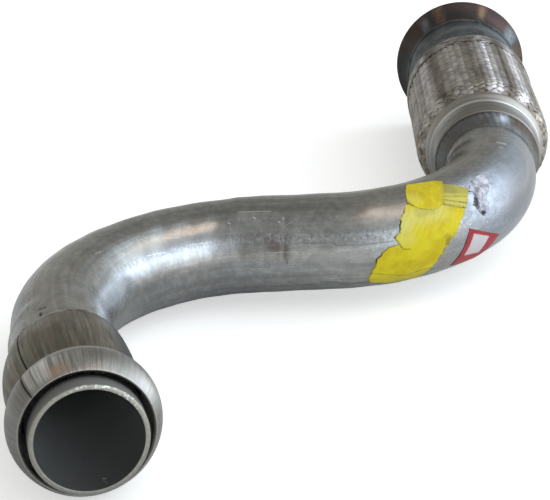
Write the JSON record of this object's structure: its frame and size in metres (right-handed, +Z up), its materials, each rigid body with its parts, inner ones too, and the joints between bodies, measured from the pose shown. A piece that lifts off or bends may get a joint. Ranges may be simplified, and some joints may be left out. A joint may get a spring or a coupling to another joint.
{
  "type": "exhaust pipe",
  "caption": "S-shaped steel exhaust pipe with a pressed ball collar at one end and a braided flexible section, neck and flared flange at the other.",
  "frame": {"origin": "centre of the tube's open inlet mouth, inside the ball collar end", "axes": "+Z up from the floor that the pipe lies on, +Y along the inlet run in plan, +X towards the side that the outlet end is on"},
  "size_m": [0.4548, 0.5154, 0.1006],
  "materials": {
    "tube_steel": "dull mill finish with handling marks",
    "collar_steel": "heat tinted, scored lengthwise",
    "cap_steel": "pressed, slightly heat tinted",
    "braid_wire": "woven wire, dull",
    "neck_steel": "blue-grey heat tint",
    "flange_steel": "brown oxide with worn spots",
    "weld_metal": "as welded, darkened",
    "yellow_label": "creased paper label",
    "red_label": "paper label with pale bars",
    "label_residue": "torn backing left on the steel"
  },
  "bodies": {
    "root": {"main_pipe": "tube_steel", "ball_collar": "collar_steel", "near_nipple": "tube_steel", "near_end_cap": "cap_steel", "interlock_liner": "tube_steel", "far_nipple": "tube_steel", "bellows": "tube_steel", "outer_braid": "braid_wire", "far_end_cap": "cap_steel", "neck_tube": "neck_steel", "outlet_flange": "flange_steel", "flex_weld": "weld_metal", "neck_weld": "weld_metal", "flange_weld": "weld_metal", "label_yellow_large": "yellow_label", "label_yellow_small": "yellow_label", "label_red": "red_label", "label_residue": "label_residue", "collar_tack_1": "weld_metal", "collar_tack_2": "weld_metal", "collar_tack_3": "weld_metal", "collar_tack_4": "weld_metal", "collar_tack_5": "weld_metal", "collar_tack_6": "weld_metal"}
  },
  "joints": []
}
